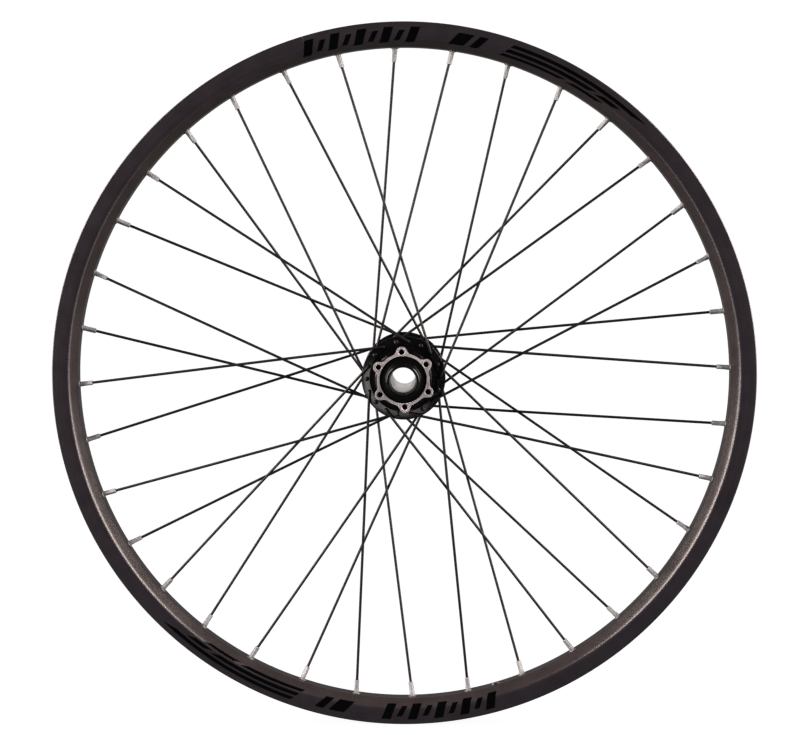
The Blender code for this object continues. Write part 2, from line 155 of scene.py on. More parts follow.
def both(half):
    """A closed outline from its +Y half."""
    return half + [(-y, r, fillet) for y, r, fillet in reversed(half)]


# ------------------------------------------------------------------------------ solids
# A solid is a pair: its points and its faces.
def stacked(rings, closed=False):
    """A tube through rings of points. Open ends are capped."""
    n, m = len(rings[0]), len(rings)
    i = np.arange(n)
    j = (i + 1) % n
    faces = []
    for k in range(m if closed else m - 1):
        a, b = k * n, ((k + 1) % m) * n
        faces += np.c_[a + i, a + j, b + j, b + i].tolist()
    if not closed:
        faces.append(i[::-1].tolist())
        faces.append(((m - 1) * n + i).tolist())
    return np.concatenate(rings), faces


def around(segments, phase=0.0):
    return phase + 360.0 * np.arange(segments) / segments


def ring_at(loop, degrees):
    """The (y, r) loop, set at this angle about the axle."""
    a = np.radians(degrees)
    return np.c_[loop[:, 1] * math.sin(a), loop[:, 0], loop[:, 1] * math.cos(a)]


def lathe(loop, angles):
    """A closed (y, r) loop turned about the axle."""
    return stacked([ring_at(loop, a) for a in angles], closed=True)


def sunk(loop, depth):
    """The loop moved inwards along its normals."""
    tangent = np.roll(loop, -1, axis=0) - np.roll(loop, 1, axis=0)
    tangent /= np.linalg.norm(tangent, axis=1)[:, None]
    normal = np.c_[tangent[:, 1], -tangent[:, 0]]
    y, r = loop[:, 0], loop[:, 1]
    area = 0.5 * np.sum(y * np.roll(r, -1) - np.roll(y, -1) * r)
    if area < 0:
        normal = -normal
    return loop - normal * depth


def own_lathe(loop, sides, squash=None):
    """A closed (t, r) loop turned about the piece's own Z. squash(t, r, angle) gives the radius."""
    rings = []
    for a in 2 * math.pi * np.arange(sides) / sides:
        r = np.array([squash(t, q, a) if squash else q for t, q in loop])
        rings.append(np.c_[r * math.cos(a), r * math.sin(a), loop[:, 0]])
    return stacked(rings, closed=True)


def merged(solids):
    points, faces, base = [], [], 0
    for part_points, part_faces in solids:
        points.append(part_points)
        faces += [[v + base for v in face] for face in part_faces]
        base += len(part_points)
    return np.concatenate(points), faces


def drill(start, end, profile, sides):
    """A turned cutter that points from start to end. profile is (distance past start, radius)."""
    along = unit(end - start)
    off_axis = (0.0, 1.0, 0.0) if abs(along[1]) < 0.9 else (1.0, 0.0, 0.0)
    across = unit(np.cross(off_axis, along))
    other = np.cross(along, across)
    a = 2 * math.pi * (np.arange(sides) + 0.5) / sides
    circle = np.cos(a)[:, None] * across + np.sin(a)[:, None] * other
    return stacked([start + along * t + r * circle for t, r in profile])


def swept(points, radii, sides, hint):
    """A round bar whose radius changes along a path. hint aims each ring's first point."""
    points = np.asarray(points, float)
    a = 2 * math.pi * np.arange(sides) / sides
    rings = []
    for i, (point, r) in enumerate(zip(points, radii)):
        before = point - points[i - 1] if i else points[1] - points[0]
        after = points[i + 1] - point if i + 1 < len(points) else before
        along = unit(unit(before) + unit(after))
        hint = unit(hint - along * (hint @ along))
        other = np.cross(along, hint)
        rings.append(point + r * (np.cos(a)[:, None] * hint + np.sin(a)[:, None] * other))
    return stacked(rings)


# ------------------------------------------------------------------------------ meshes, objects
def smooth(mesh, sharp):
    mesh.shade_smooth()
    mesh.set_sharp_from_angle(angle=math.radians(sharp))


def mesh_from(name, solid, materials, marks=None, sharp=30.0):
    """A smooth-shaded mesh in metres. marks gives each face's material."""
    points, faces = solid
    mesh = bpy.data.meshes.new(name)
    mesh.from_pydata((np.asarray(points) * MM).tolist(), [], faces)
    if marks is not None:
        mesh.polygons.foreach_set("material_index", np.asarray(marks, np.int32))
    bm = bmesh.new()
    bm.from_mesh(mesh)
    bmesh.ops.recalc_face_normals(bm, faces=bm.faces)
    bm.to_mesh(mesh)
    bm.free()
    for material in materials:
        mesh.materials.append(material)
    smooth(mesh, sharp)
    return mesh


def loose(name, data):
    obj = bpy.data.objects.new(name, data)
    bpy.context.scene.collection.objects.link(obj)
    return obj


def attach(obj, body, nodes):
    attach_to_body(obj, body)
    if nodes:
        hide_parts(*nodes)


def piece(name, mesh, body, nodes, matrix=None):
    obj = loose(name, mesh)
    if matrix is not None:
        obj.matrix_world = matrix
    attach(obj, body, nodes)
    return obj


def finish(node, solid, material, body):
    """The one piece that replaces a CAD node."""
    name = f"{node}_finish"
    return piece(name, mesh_from(name, solid, [material]), body, [node])


def carve(obj, solid, materials, marks=None, operation="DIFFERENCE"):
    """Cuts or joins obj with a solid for good."""
    cutter = loose("cut", mesh_from("cut", solid, materials, marks))
    mod = obj.modifiers.new("carve", "BOOLEAN")
    mod.operation = operation
    mod.object = cutter
    mod.solver = "MANIFOLD"
    bpy.context.view_layer.update()
    graph = bpy.context.evaluated_depsgraph_get()
    mesh = bpy.data.meshes.new_from_object(obj.evaluated_get(graph), depsgraph=graph)
    if len(mesh.vertices) == len(obj.data.vertices):
        raise RuntimeError(f"{obj.name}: nothing was carved")
    obj.modifiers.clear()
    obj.data = mesh
    bpy.data.objects.remove(cutter)


def frame_at(origin, z_axis, spin=0.0):
    """The matrix of a piece whose own Z axis points along z_axis, in metres."""
    z = unit(z_axis)
    x = unit(np.cross((0.0, 1.0, 0.0), z))
    y = np.cross(z, x)
    matrix = np.eye(4)
    c, s = math.cos(spin), math.sin(spin)
    matrix[:3, 0], matrix[:3, 1], matrix[:3, 2] = c * x + s * y, -s * x + c * y, z
    matrix[:3, 3] = origin * MM
    return Matrix(matrix.tolist())


# ------------------------------------------------------------------------------ shader helpers
def new_material(name):
    mat = bpy.data.materials.new(name)
    mat.use_nodes = True
    return mat, mat.node_tree, mat.node_tree.nodes["Principled BSDF"]


def maths(tree, operation, *values):
    node = tree.nodes.new("ShaderNodeMath")
    node.operation = operation
    for socket, value in zip(node.inputs, values):
        if isinstance(value, (int, float)):
            socket.default_value = value
        else:
            tree.links.new(value, socket)
    return node.outputs[0]


def noise(tree, vector, scale, detail=2.0, rough=0.5):
    node = tree.nodes.new("ShaderNodeTexNoise")
    node.inputs["Scale"].default_value = scale
    node.inputs["Detail"].default_value = detail
    node.inputs["Roughness"].default_value = rough
    tree.links.new(vector, node.inputs["Vector"])
    return node.outputs["Fac"]


def blend(tree, factor, low, high):
    """Mixes two colours, each an (r, g, b) or a socket."""
    node = tree.nodes.new("ShaderNodeMix")
    node.data_type = "RGBA"
    for socket, value in ((node.inputs[0], factor), (node.inputs[6], low), (node.inputs[7], high)):
        if isinstance(value, tuple):
            socket.default_value = (*value, 1.0)
        else:
            tree.links.new(value, socket)
    return node.outputs[2]


def ranged(tree, value, source, target=(0.0, 1.0)):
    """Maps the source range onto the target range."""
    node = tree.nodes.new("ShaderNodeMapRange")
    tree.links.new(value, node.inputs[0])
    for k, bound in enumerate((*source, *target), 1):
        node.inputs[k].default_value = bound
    return node.outputs[0]


def metal(name, colour, rough, metallic, vary=0.12, rough_vary=0.08, grain=0.25,
          grain_scale=3500.0, lines=None, line_depth=0.0, line_scale=900.0, specks=0.0,
          speck_colour=(0.3, 0.29, 0.28), coat=0.0, specular=0.5, tint=None, inner=None):
    """A finish with cloudy colour, broken-up roughness, fine grain, tool lines and specks.
    lines: "turned" follows the lathe about the axle, "along_z" rings a piece's own Z axis.
    tint: the base of the lighter clouds, if it isn't the colour.
    inner: (radius, multiplier) of the colour inside a radius about the axle, for a turned piece:
    painted sheen, a lighter colour that stands in for the lamps' reflections there."""
    mat, tree, shader = new_material(name)
    coord = tree.nodes.new("ShaderNodeTexCoord").outputs["Object"]
    cloud = noise(tree, coord, scale=55.0, detail=4.0, rough=0.6)
    fine = noise(tree, coord, scale=420.0, detail=3.0, rough=0.6)
    grain_value = noise(tree, coord, scale=grain_scale, rough=0.6)

    darker = tuple(c * (1 - vary) for c in colour)
    lighter = tuple(min(1.0, c * (1 + vary)) for c in (tint or colour))
    shade = blend(tree, ranged(tree, cloud, (0.3, 0.7)), darker, lighter)
    mottle = ranged(tree, fine, (0.35, 0.65), (0.0, vary))
    shade = blend(tree, mottle, shade, tuple(c * 0.55 for c in colour))

    mean = maths(tree, "ADD", maths(tree, "MULTIPLY", cloud, 0.5), maths(tree, "MULTIPLY", fine, 0.5))
    rough_range = (max(0.02, rough - rough_vary), min(1.0, rough + rough_vary))
    roughness = ranged(tree, mean, (0.3, 0.7), rough_range)
    height = maths(tree, "MULTIPLY", grain_value, grain)

    if lines:
        split = tree.nodes.new("ShaderNodeSeparateXYZ")
        tree.links.new(coord, split.inputs[0])
        x, y, z = split.outputs
        joined = tree.nodes.new("ShaderNodeCombineXYZ")
        if lines == "turned":
            squares = maths(tree, "ADD", maths(tree, "MULTIPLY", x, x), maths(tree, "MULTIPLY", z, z))
            r = maths(tree, "SQRT", squares)
            # the angle counts for little, so the noise is drawn out into rings
            angle = maths(tree, "MULTIPLY", maths(tree, "ARCTAN2", x, z), 0.0012)
            sources = (r, y, angle)
            # Painted sheen: inside the radius the colour is multiplied lighter, standing in for the
            # lamps' reflections on the rim's bevel.
            if inner:
                radius, multiplier = inner
                painted_sheen_zone = ranged(tree, r, (radius - 0.0005, radius + 0.0005), (1.0, 0.0))
                shade = blend(tree, painted_sheen_zone, shade, multiplier)
                shade.node.blend_type = "MULTIPLY"
        else:
            sources = (maths(tree, "MULTIPLY", x, 0.05), maths(tree, "MULTIPLY", y, 0.05), z)
        for source, socket in zip(sources, joined.inputs):
            tree.links.new(source, socket)
        tool = noise(tree, joined.outputs[0], scale=line_scale, detail=3.0, rough=0.65)
        height = maths(tree, "ADD", height, maths(tree, "MULTIPLY", tool, line_depth))
        roughness = maths(tree, "ADD", roughness, ranged(tree, tool, (0.3, 0.7), (-0.03, 0.05)))
        shine = ranged(tree, tool, (0.45, 0.75), (0.0, 0.25 * min(1.0, line_depth + 0.3)))
        shade = blend(tree, shine, shade, lighter)

    if specks:
        spot = noise(tree, coord, scale=900.0, detail=4.0, rough=0.75)
        mask = ranged(tree, spot, (0.70, 0.76), (0.0, specks))
        shade = blend(tree, mask, shade, speck_colour)
        roughness = maths(tree, "ADD", roughness, maths(tree, "MULTIPLY", mask, 0.2))

    tree.links.new(shade, shader.inputs["Base Color"])
    tree.links.new(roughness, shader.inputs["Roughness"])
    shader.inputs["Metallic"].default_value = metallic
    shader.inputs["Specular IOR Level"].default_value = specular
    shader.inputs["Coat Weight"].default_value = coat
    shader.inputs["Coat Roughness"].default_value = 0.12
    bump = tree.nodes.new("ShaderNodeBump")
    bump.inputs["Strength"].default_value = 0.35
    bump.inputs["Distance"].default_value = 0.00006
    tree.links.new(height, bump.inputs["Height"])
    tree.links.new(bump.outputs[0], shader.inputs["Normal"])
    return mat


# ------------------------------------------------------------------------------ materials
# The rim's bevel inside the crease gets painted sheen: its colour is lifted, lighter and warmer, to
# stand in for the side lamps' reflections.
RIM = metal("rim_black_anodised", colour=(0.0218, 0.0182, 0.0230), rough=0.30, metallic=0.35,
            vary=0.10, rough_vary=0.025, grain=0.02, grain_scale=2600.0, lines="turned",
            line_depth=0.05, line_scale=700.0, specks=0.04, speck_colour=(0.065, 0.057, 0.054),
            tint=(0.0242, 0.0204, 0.0250), inner=(CREASE_R * MM, (1.58, 1.54, 1.27)))
RIM_CUT = metal("rim_drilled_edge", colour=(0.42, 0.40, 0.39), rough=0.38, metallic=1.0,
                grain=0.6, lines="along_z", line_depth=0.4)
HUB = metal("hub_black_gloss", colour=(0.0030, 0.0026, 0.0029), rough=0.17, metallic=0.30,
            vary=0.15, rough_vary=0.04, grain=0.15, lines="turned", line_depth=0.35,
            line_scale=1600.0, specks=0.05, coat=0.10, specular=0.35)
MACHINED = metal("machined_disc_face", colour=(0.150, 0.141, 0.146), rough=0.46, metallic=0.40,
                 vary=0.06, rough_vary=0.06, grain=0.5, grain_scale=5200.0, lines="turned",
                 line_depth=0.9, line_scale=2600.0, specks=0.25, speck_colour=(0.12, 0.11, 0.11))
THREAD = metal("tapped_thread", colour=(0.15, 0.14, 0.136), rough=0.5, metallic=0.3,
               grain=0.2, lines="turned", line_depth=0.2)
CAP = metal("end_cap_black", colour=(0.0028, 0.0027, 0.0029), rough=0.24, metallic=0.15,
            vary=0.15, rough_vary=0.05, grain=0.2, lines="turned", line_depth=0.5,
            line_scale=1900.0, specks=0.06, specular=0.22)
AXLE = metal("axle_bare_alloy", colour=(0.56, 0.53, 0.525), rough=0.36, metallic=0.45,
             vary=0.05, rough_vary=0.05, grain=0.3, lines="turned", line_depth=0.7,
             line_scale=1800.0)
SPOKE = metal("spoke_black_coat", colour=(0.0045, 0.0042, 0.0045), rough=0.46, metallic=0.15,
              vary=0.2, rough_vary=0.06, grain=0.12, grain_scale=4200.0, specks=0.06,
              speck_colour=(0.03, 0.028, 0.027), specular=0.35)
NIPPLE = metal("nipple_nickel", colour=(0.205, 0.205, 0.213), rough=0.56, metallic=0.25,
               vary=0.08, rough_vary=0.06, grain=0.05, lines="along_z", line_depth=0.15,
               line_scale=1200.0, specks=0.04, speck_colour=(0.14, 0.14, 0.145))
EYELET = metal("eyelet_plated", colour=(0.110, 0.109, 0.112), rough=0.50, metallic=0.30,
               vary=0.08, grain=0.3, lines="along_z", line_depth=0.5, specks=0.2,
               speck_colour=(0.07, 0.066, 0.062))
STEEL = metal("ground_bearing_steel", colour=(0.56, 0.56, 0.57), rough=0.18, metallic=1.0,
              vary=0.05, grain=0.15, lines="turned", line_depth=0.5, line_scale=2600.0)
BALL = metal("polished_ball", colour=(0.62, 0.62, 0.63), rough=0.06, metallic=1.0,
             vary=0.03, rough_vary=0.02, grain=0.05)
BRASS = metal("stamped_cage", colour=(0.55, 0.50, 0.44), rough=0.32, metallic=1.0,
              vary=0.08, grain=0.4)
RUBBER = metal("seal_rubber", colour=(0.010, 0.010, 0.011), rough=0.62, metallic=0.0,
               vary=0.15, rough_vary=0.1, grain=0.8, lines="turned", line_depth=0.3,
               line_scale=1400.0)
SLEEVE = metal("sleeve_mill_finish", colour=(0.55, 0.54, 0.53), rough=0.45, metallic=0.9,
               grain=0.5)
DECAL = metal("decal_gloss_black", colour=(0.0012, 0.0011, 0.0012), rough=0.20, metallic=0.0,
              vary=0.2, rough_vary=0.05, grain=0.2, grain_scale=1800.0, specular=0.10)

# ------------------------------------------------------------------------------ rim
# Half outlines on the +Y side: (y, r, corner radius)
HALF_SKIN = [
    (6.3, BED_R, BED_FILLET),
    (SIDE_Y, CREASE_R, SIDE_FILLET),
    (SIDE_Y, RIM_R - 0.5, 0.5),
    (SIDE_Y - 0.5, RIM_R, 0.45),
    (13.2, RIM_R - 0.15, 0.7),
    (12.9, RIM_R - 2.1, 0.6),
    (14.1, RIM_R - 3.4, 0.5),
    (13.8, 279.5, 0.6),
    (10.0, 279.25, 0.8),
    (7.6, 275.5, 1.6),
]
HALF_CHAMBER = [(5.8, 267.2, 0.8), (14.3, 273.4, 0.8), (14.3, 277.6, 0.6), (8.6, 274.0, 1.2)]
HALF_SLEEVE = [(5.4, 267.8, 0.8), (13.8, 273.9, 0.7), (13.8, 276.8, 0.6), (9.0, 273.6, 0.8)]
RIM_SEGMENTS = 432
# The groove at the joint: (angle from the joint, depth)
SEAM = [(-0.10, 0.0), (-0.035, 0.0), (0.0, 0.16), (0.035, 0.0), (0.10, 0.0)]


def rim_hole(i):
    """(angle, y) of a spoke hole."""
    return PHASE + STEP * i, -SPOKE_HOLE_OFFSET if i % 2 == 0 else SPOKE_HOLE_OFFSET


def rim_skin():
    """The rim's solid, its rings evenly spaced except at the joint's seam."""
    loop = densified(rounded(both(HALF_SKIN), 6), 2.4)
    even = around(RIM_SEGMENTS, PHASE + 0.5 * 360 / RIM_SEGMENTS) % 360
    stations = [(a, 0.0) for a in even if abs((a - JOINT_DEG + 180) % 360 - 180) > 0.3]
    stations += [(turn + JOINT_DEG % 360, depth) for turn, depth in SEAM]
    rings = [ring_at(sunk(loop, depth), a) for a, depth in sorted(stations)]
    return stacked(rings, closed=True)


def rim_cutters():
    """Spoke holes in the bed, wider holes above them in the tyre well, and the valve hole."""
    cutters = []
    for i in range(SPOKES):
        angle, y = rim_hole(i)
        cutters.append(drill(polar(262.0, y, angle), polar(270.0, y, angle),
                             [(0, 2.85), (8.2, 2.85)], sides=28))
        cutters.append(drill(polar(271.0, 0, angle), polar(279.0, 0, angle),
                             [(0, 4.4), (4.0, 4.4), (4.9, 4.9), (8.0, 4.9)], sides=36))
    cutters.append(drill(polar(262.0, 0, VALVE_DEG), polar(279.0, 0, VALVE_DEG),
                         [(0, 4.25), (14.0, 4.25), (17.0, 4.25)], sides=40))
    return merged(cutters)


rim = loose("rim_finish", mesh_from("rim_finish", rim_skin(), [RIM, RIM_CUT]))
carve(rim, lathe(rounded(both(HALF_CHAMBER), 4), around(RIM_SEGMENTS, PHASE)), [RIM_CUT])
holes = rim_cutters()
carve(rim, holes, [RIM, RIM_CUT], marks=np.ones(len(holes[1])))
smooth(rim.data, 28)
attach(rim, "wheel", ["rim"])

# joint sleeve inside the rim
sleeve = rounded(both(HALF_SLEEVE), 4)
sleeve_angles = np.linspace(JOINT_DEG - 3.9, JOINT_DEG + 3.9, 25)
finish("rim_joint_sleeve", stacked([ring_at(sleeve, a) for a in sleeve_angles]),
       SLEEVE, "wheel")

# ------------------------------------------------------------------------------ eyelets, nipples
# Both outlines are (t, r, corner radius). t runs outwards along the piece's own Z axis and is 0
# at the bed's inner face. An eyelet's Z follows its spoke hole, a nipple's follows its spoke.
EYELET_OUTLINE = [
    (-0.95, 2.35, 0.3), (-0.75, 3.05, 0.35), (-0.05, 3.75, 0.25), (-0.02, 2.78, 0.0),
    (1.75, 2.78, 0.0), (1.78, 3.7, 0.2), (2.15, 3.7, 0.2), (2.3, 2.15, 0.3), (0.0, 2.12, 0.4),
]
NIPPLE_OUTLINE = [
    (-NIPPLE_OUT, 1.08, 0.05), (-NIPPLE_OUT, 1.5, 0.2), (-NIPPLE_OUT + 0.5, 1.98, 0.25),
    (2.2, 2.0, 0.25), (2.45, 3.0, 0.15), (3.3, 3.15, 0.3), (4.7, 2.5, 0.5), (5.0, 1.1, 0.2),
    (1.0, 1.08, 0.0),
]
FLAT_TO = -4.6                  # where the wrench flats begin to fade
FLAT_FADE = 1.0
FLAT = 1.62                     # half the width across the flats
SLOT_HALF_L, SLOT_HALF_W = 4.0, 0.45
SLOT_FROM, SLOT_TO = 4.0, 6.0


def wrench_flats(t, r, angle):
    """Four flats near the tip that fade into the round shank. The bore stays round."""
    if r < 1.3 or t > FLAT_TO + FLAT_FADE:
        return r
    fade = min(1.0, max(0.0, (FLAT_TO + FLAT_FADE - t) / FLAT_FADE))
    square = FLAT / max(abs(math.cos(angle)), abs(math.sin(angle)))
    return r * (1 - fade) + min(r, square) * fade


def slotted_nipple():
    """The nipple's mesh, with a screwdriver slot across its head."""
    loop = densified(rounded(NIPPLE_OUTLINE, 3), 1.1)
    solid = own_lathe(loop, 32, wrench_flats)
    nipple = loose("nipple_template", mesh_from("nipple", solid, [NIPPLE], sharp=24))
    ends = [
        np.array([(x * SLOT_HALF_L, y * SLOT_HALF_W, z)
                  for x, y in ((-1, -1), (1, -1), (1, 1), (-1, 1))])
        for z in (SLOT_FROM, SLOT_TO)
    ]
    carve(nipple, stacked(ends), [NIPPLE])
    smooth(nipple.data, 24)
    mesh = nipple.data
    bpy.data.objects.remove(nipple)
    return mesh


eyelet_mesh = mesh_from("eyelet", own_lathe(rounded(EYELET_OUTLINE, 4), 32), [EYELET], sharp=40)
nipple_mesh = slotted_nipple()

# ------------------------------------------------------------------------------ spokes
# A spoke seen along the axle is a straight line. These are its length from hub hole to rim,
# the angle at the axle from the line's nearest point to its rim end, its distance from the
# axle, the radius where it crosses another, and the runs from the hub hole.
chord = math.sqrt(BED_R ** 2 + PITCH_R ** 2 - 2 * BED_R * PITCH_R * math.cos(math.radians(CROSS)))
rim_end_deg = math.degrees(math.acos(PITCH_R * math.sin(math.radians(CROSS)) / chord))
tangent_r = BED_R * math.cos(math.radians(rim_end_deg))
cross_r = tangent_r / math.cos(math.radians(rim_end_deg - CROSS / 6.0))
hub_run = math.sqrt(PITCH_R ** 2 - tangent_r ** 2)
cross_run = math.sqrt(cross_r ** 2 - tangent_r ** 2) - hub_run
full_run = math.sqrt(BED_R ** 2 - tangent_r ** 2) - hub_run

# The head: (distance out from the flange's face, radius)
SPOKE_HEAD = [
    (1.72, 0.25), (1.66, 0.75), (1.48, 1.25), (1.2, 1.62), (0.86, 1.84), (0.62, 1.86),
    (0.42, 1.6), (0.2, 1.2), (0.05, 1.02), (-0.3, SPOKE_R),
]
LONGEST_SPAN = 22.0


def lead_of(i):
    """1 where the rim end lies clockwise of the hub hole, -1 where it lies the other way."""
    return 1 if i % 4 in (0, 3) else -1


def hub_hole(i):
    """(angle, y) of a spoke hole's middle in its flange."""
    return rim_hole(i)[0] - lead_of(i) * CROSS, LEFT_FLANGE if i % 2 == 0 else RIGHT_FLANGE


def eased(corners, steps=6):
    """A path through (point, bend length) corners, each inner one rounded with a smooth curve."""
    out = [corners[0][0]]
    for (before, _), (corner, bend), (after, _) in zip(corners, corners[1:], corners[2:]):
        to_before, to_after = np.linalg.norm(before - corner), np.linalg.norm(after - corner)
        bend = min(bend, 0.49 * to_before, 0.49 * to_after)
        start = corner + (before - corner) / to_before * bend
        end = corner + (after - corner) / to_after * bend
        for k in range(steps + 1):
            w = k / steps
            out.append((1 - w) ** 2 * start + 2 * w * (1 - w) * corner + w * w * end)
    out.append(corners[-1][0])
    return out


def spoke(i):
    """(path, radii, nipple frame) of spoke i."""
    rim_deg, rim_y = rim_hole(i)
    hub_deg, flange = hub_hole(i)
    outward = -1.0 if i % 2 == 0 else 1.0
    head_side = outward * lead_of(i)
    away = -head_side
    hole = polar(PITCH_R, flange, hub_deg)
    end = polar(BED_R, rim_y, rim_deg)
    flat = end - hole
    flat[1] = 0
    flat = unit(flat)
    y_axis = np.array((0.0, 1.0, 0.0))

    path = [hole + y_axis * head_side * (HALF_T + out) for out, _ in SPOKE_HEAD]
    radii = [r for _, r in SPOKE_HEAD]
    lie = y_axis * away * LIE
    centre = hole + lie - y_axis * away * BEND_R + flat * BEND_R
    for turn in range(0, 91, 10):
        a = math.radians(turn)
        path.append(centre - flat * BEND_R * math.cos(a) + y_axis * away * BEND_R * math.sin(a))

    corners = [(path[-1], 0.0)]
    if away == outward:                         # it has to clear the flange before it turns in
        corners.append((hole + lie + flat * EDGE_RUN, 3.0))
    crossing = hole + flat * cross_run
    crossing[1] = flange + (rim_y - flange) * cross_run / full_run - away * LACE
    corners.append((crossing, 14.0))
    line = unit(end - crossing)
    corners.append((end + line * 3.9, 0.0))
    run = eased(corners)
    for a, b in zip(run[:-1], run[1:]):
        n = max(1, int(np.linalg.norm(b - a) / LONGEST_SPAN))
        path += [a + (b - a) * k / n for k in range(1, n + 1)]
    radii += [SPOKE_R] * (len(path) - len(radii))
    return path, radii, frame_at(end, line, math.radians(45 + 37.0 * i))


# Every fourth spoke has the same shape, so four meshes are made and turned into place.
templates = {}
for i in range(SPOKES):
    path, radii, nipple_frame = spoke(i)
    kind = i % 4
    angle, hole_y = rim_hole(i)
    if kind not in templates:
        solid = swept(path, radii, 16, hint=path[-1] * (1, 0, 1))
        templates[kind] = (mesh_from(f"spoke_kind_{kind}", solid, [SPOKE], sharp=40), angle)
    mesh, made_at = templates[kind]
    number = f"{i + 1:02d}"
    node = f"spoke_{number}"
    piece(f"{node}_wire", mesh, "wheel", [node],
          matrix=Matrix.Rotation(math.radians(angle - made_at), 4, "Y"))
    piece(f"nipple_{number}", nipple_mesh, "wheel", [node], matrix=nipple_frame)
    piece(f"eyelet_{number}", eyelet_mesh, "wheel", (),
          matrix=frame_at(polar(BED_R, hole_y, angle), polar(1.0, 0.0, angle)))

# ------------------------------------------------------------------------------ hub shell
SEAT_R = 18.56                  # bearing seats
BORE_R = 15.6
MOUTH_Y = 42.0                  # the shell's right end
HUB_SEGMENTS, HUB_PHASE = 180, 1.0
SHELL_LEFT = DISC_Y + 2.5
LEFT_FACE = LEFT_FLANGE - HALF_T
# (y, r, corner radius), left to right outside, then back through the bore
SHELL = [
    (SHELL_LEFT, 19.8, 0.0),
    (LEFT_FLANGE - 4.2, 20.6, 2.0),
    (LEFT_FACE + 0.35, 22.4, 1.4),
    (LEFT_FACE + 0.35, 26.5, 0.3),
    (LEFT_FACE - 0.35, 27.1, 0.35),
    (LEFT_FACE + 0.85, FLANGE_R - 0.05, 0.5),
    (LEFT_FLANGE + HALF_T, FLANGE_R, 0.6),
    (LEFT_FLANGE + HALF_T, 26.2, 1.6),
    (LEFT_FLANGE + 5.5, 21.6, 4.0),
    (2.5, 19.2, 14.0),
    (10.5, 19.2, 14.0),
    (RIGHT_FLANGE - 8.0, 21.6, 5.0),
    (RIGHT_FLANGE - HALF_T, 26.0, 1.6),
    (RIGHT_FLANGE - HALF_T, FLANGE_R, 0.75),
    (RIGHT_FLANGE + HALF_T, FLANGE_R, 0.75),
    (RIGHT_FLANGE + HALF_T, 26.5, 1.5),
    (RIGHT_FLANGE + 4.2, 22.6, 1.6),
    (MOUTH_Y, 21.2, 0.7),
    (MOUTH_Y, SEAT_R, 0.35),
    (RIGHT_SHOULDER, SEAT_R, 0.1),
    (RIGHT_SHOULDER, BORE_R, 0.4),
    (LEFT_SHOULDER, BORE_R, 0.4),
    (LEFT_SHOULDER, SEAT_R, 0.1),
    (SHELL_LEFT, SEAT_R, 0.0),
]
# Sections of the disc mount: (y, inset of the star's outline)
STAR_SECTIONS = [
    (DISC_Y, 0.20), (DISC_Y + 0.05, 0.07), (DISC_Y + 0.2, 0.0), (DISC_Y + 4.0, 0.0),
    (DISC_Y + 9.0, 0.0), (DISC_Y + 14.0, 0.0), (LEFT_FACE + 1.2, 0.0),
]
# The cutter that opens the disc mount: (y, radius)
BORE = [
    (DISC_Y - 1.0, SEAT_R + 1.25), (DISC_Y, SEAT_R + 0.25), (DISC_Y + 0.25, SEAT_R),
    (LEFT_SHOULDER, SEAT_R), (LEFT_SHOULDER, BORE_R), (5.0, BORE_R),
]
# A spoke hole, countersunk on both faces: (distance along the hole, radius)
SPOKE_HOLE = [(0.0, 2.2), (0.9, 1.75), (1.35, 1.27), (4.05, 1.27), (4.5, 1.75), (5.4, 2.2)]
SPOKE_HOLE_HALF = 2.7
BOLT_DEGS = [DISC_PHASE + 60 * k for k in range(6)]
PLAIN, FACED, TAPPED = 0, 1, 2  # the hub's material slots


def arc(centre, start, end, radius, steps=8):
    start, end = unit(start), unit(end)
    return [centre + radius * arm for arm in swung(start, end, start @ end, steps)]


def star_outline(inset):
    """Six round ears joined by fillets to a round waist."""
    ear_r, fillet_r, waist = EAR_R - inset, EAR_FILLET + inset, WAIST_R - inset
    reach, to_ear = waist + fillet_r, ear_r + fillet_r
    lean = math.degrees(math.acos((BOLT_R ** 2 + reach ** 2 - to_ear ** 2) / (2 * BOLT_R * reach)))
    out = []
    for axis in BOLT_DEGS:
        ear = polar(BOLT_R, 0, axis)
        before, after = polar(reach, 0, axis - lean), polar(reach, 0, axis + lean)
        out += arc(before, -before, ear - before, fillet_r)
        out += arc(ear, before - ear, ear, ear_r)[1:]
        out += arc(ear, ear, after - ear, ear_r)[1:]
        out += arc(after, ear - after, -after, fillet_r)[1:]
        waist_from, waist_to = axis + lean, axis + 60 - lean
        for w in (0.2, 0.4, 0.6, 0.8):
            out.append(polar(waist, 0, waist_from + (waist_to - waist_from) * w))
    return np.array(out)


def add_disc_mount(hub):
    rings = []
    for y, inset in STAR_SECTIONS:
        ring = star_outline(inset)
        ring[:, 1] = y
        rings.append(ring)
    solid = stacked(rings)
    marks = np.full(len(solid[1]), PLAIN)
    marks[-2:] = FACED                          # the two ends; the one inside the hub is buried
    marks[:len(rings[0])] = FACED               # the broken edge round the disc face
    carve(hub, solid, [HUB, MACHINED], marks, operation="UNION")


def bore_cutter():
    a = np.radians(around(HUB_SEGMENTS, HUB_PHASE))
    return stacked([np.c_[r * np.sin(a), np.full(len(a), y), r * np.cos(a)] for y, r in BORE])


def bolt_cutter(angle):
    """A countersunk, threaded bolt hole."""
    profile = [(0.0, 3.1), (0.6, 2.62), (0.95, 2.25)]
    for t in 1.15 + 0.8 * np.arange(12):
        profile += [(t, 2.12), (t + 0.4, 2.5)]
    profile += [(10.6, 2.12), (11.8, 0.6)]
    return drill(polar(BOLT_R, DISC_Y - 0.6, angle), polar(BOLT_R, DISC_Y + 11, angle), profile, 28)


def spoke_hole_cutter(i):
    angle, y = hub_hole(i)
    start = polar(PITCH_R, y - SPOKE_HOLE_HALF, angle)
    return drill(start, polar(PITCH_R, y + SPOKE_HOLE_HALF, angle), SPOKE_HOLE, 20)


